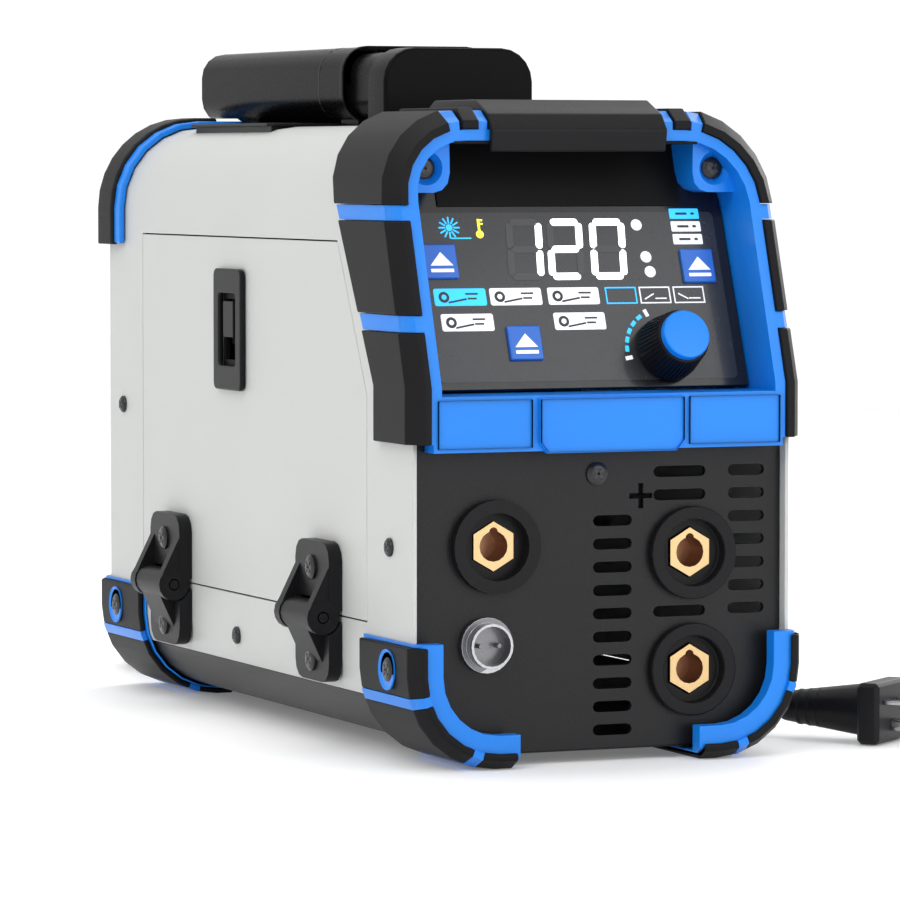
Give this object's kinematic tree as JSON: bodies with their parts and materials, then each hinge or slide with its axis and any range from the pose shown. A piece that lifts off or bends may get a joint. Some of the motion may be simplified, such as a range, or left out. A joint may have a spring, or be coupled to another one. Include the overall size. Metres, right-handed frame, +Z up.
{
  "type": "mig welding machine",
  "caption": "Compact wire-feed welding machine with bent sheet casing, leaning control hood, drop-down side door, front sockets and a mains cord.",
  "frame": {"origin": "on the ground under the middle of the machine's box, without its cord", "axes": "+Z up, -Y the front with the sockets and controls, -X the side with the wire compartment door"},
  "size_m": [0.2325, 0.4554, 0.262],
  "materials": {
    "grey_coat": "light grey powder coat",
    "black_plastic": "fine moulded texture",
    "blue_plastic": "satin moulded",
    "rubber_pad": "soft overmoulding",
    "black_steel": "fine black powder coat",
    "brass": "turned",
    "steel": "plated",
    "control_face": "printed gloss overlay",
    "cord_rubber": "matt jacket",
    "board": "circuit board"
  },
  "bodies": {
    "machine": {"base_tray": "black_steel", "casing": "grey_coat", "control_connector": "steel", "control_panel": "control_face", "cord_coil": "cord_rubber", "cord_gland": "cord_rubber", "cord_plug": "cord_rubber", "cord_to_coil": "cord_rubber", "cord_to_plug": "cord_rubber", "divider": "steel", "drive_motor": "steel", "fan_housing": "black_plastic", "front_panel": "black_steel", "guard_front_left": "blue_plastic", "guard_front_right": "blue_plastic", "guard_pad_front_left": "rubber_pad", "guard_pad_front_right": "rubber_pad", "guard_pad_rear_left": "rubber_pad", "guard_pad_rear_right": "rubber_pad", "guard_rear_left": "blue_plastic", "guard_rear_right": "blue_plastic", "handle_front_block": "black_plastic", "handle_grip": "black_plastic", "handle_well": "black_plastic", "hinge_front_case_leaf": "black_plastic", "hinge_rear_case_leaf": "black_plastic", "hood_frame": "blue_plastic", "hood_pad_left_lower": "black_plastic", "hood_pad_left_middle": "black_plastic", "hood_pad_left_shoulder": "black_plastic", "hood_pad_right_lower": "black_plastic", "hood_pad_right_middle": "black_plastic", "hood_pad_right_shoulder": "black_plastic", "hood_top_bar": "black_plastic", "power_board": "board", "rear_frame": "blue_plastic", "rear_panel": "black_steel", "socket_left_insert": "brass", "socket_left_ring": "black_plastic", "socket_lower_insert": "brass", "socket_lower_ring": "black_plastic", "socket_upper_insert": "brass", "socket_upper_ring": "black_plastic", "spool_spindle": "black_plastic"},
    "door": {"side_door": "grey_coat", "latch_frame": "black_plastic", "hinge_front_door_leaf": "black_plastic", "hinge_rear_door_leaf": "black_plastic"},
    "latch": {"latch_slider": "black_plastic"},
    "button_left": {"button_left": "blue_plastic"},
    "button_centre": {"button_centre": "blue_plastic"},
    "button_right": {"button_right": "blue_plastic"},
    "encoder": {"encoder_shaft": "steel"},
    "knob": {"control_knob": "black_plastic"},
    "rocker": {"power_switch": "black_plastic"},
    "fan": {"fan_rotor": "black_plastic"},
    "spool": {"wire_spool": "black_plastic"},
    "drive_roll": {"drive_roll": "steel"},
    "pressure_arm": {"pressure_arm": "black_plastic"},
    "pressure_roll": {"pressure_roll": "steel"}
  },
  "joints": [
    {"name": "door_hinge", "type": "hinge", "parent": "machine", "child": "door", "pos_m": [-0.07695, 0, 0.05], "axis": [0, -1, 0], "range_deg": [0, 100]},
    {"name": "latch_slide", "type": "slide", "parent": "door", "child": "latch", "axis": [0, 0, -1], "range_m": [0, 0.008]},
    {"name": "button_right_press", "type": "slide", "parent": "machine", "child": "button_right", "axis": [0, 0.9366, -0.3503], "range_m": [0, 0.0012], "stiffness_N_per_m": 400, "springref_m": -0.0005},
    {"name": "button_centre_press", "type": "slide", "parent": "machine", "child": "button_centre", "axis": [0, 0.9366, -0.3503], "range_m": [0, 0.0012], "stiffness_N_per_m": 400, "springref_m": -0.0005},
    {"name": "button_left_press", "type": "slide", "parent": "machine", "child": "button_left", "axis": [0, 0.9366, -0.3503], "range_m": [0, 0.0012], "stiffness_N_per_m": 400, "springref_m": -0.0005},
    {"name": "control_knob_press", "type": "slide", "parent": "machine", "child": "encoder", "axis": [0, 0.9366, -0.3503], "range_m": [0, 0.0007], "stiffness_N_per_m": 600, "springref_m": -0.0004},
    {"name": "control_knob_turn", "type": "hinge", "parent": "encoder", "child": "knob", "pos_m": [0.03925, -0.14346, 0.14833], "axis": [0, 0.9366, -0.3503], "continuous": true},
    {"name": "power_rocker", "type": "hinge", "parent": "machine", "child": "rocker", "pos_m": [0.05335, 0.16, 0.081], "axis": [1, 0, 0], "range_deg": [-8, 0]},
    {"name": "fan_spin", "type": "hinge", "parent": "machine", "child": "fan", "pos_m": [0.00535, 0.142, 0.13], "axis": [0, 1, 0], "continuous": true},
    {"name": "spool_spin", "type": "hinge", "parent": "machine", "child": "spool", "pos_m": [-0.02965, 0.055, 0.112], "axis": [1, 0, 0], "continuous": true},
    {"name": "drive_roll_spin", "type": "hinge", "parent": "machine", "child": "drive_roll", "pos_m": [-0.01465, -0.062, 0.092], "axis": [1, 0, 0], "continuous": true},
    {"name": "pressure_arm_lift", "type": "hinge", "parent": "machine", "child": "pressure_arm", "pos_m": [-0.01865, -0.037, 0.122], "axis": [-1, 0, 0], "range_deg": [0, 60]},
    {"name": "pressure_roll_spin", "type": "hinge", "parent": "pressure_arm", "child": "pressure_roll", "pos_m": [-0.01465, -0.062, 0.117], "axis": [1, 0, 0], "continuous": true}
  ],
  "couplings": [
    {"joint": "pressure_roll_spin", "follows": "drive_roll_spin", "ratio": -1.6667}
  ]
}
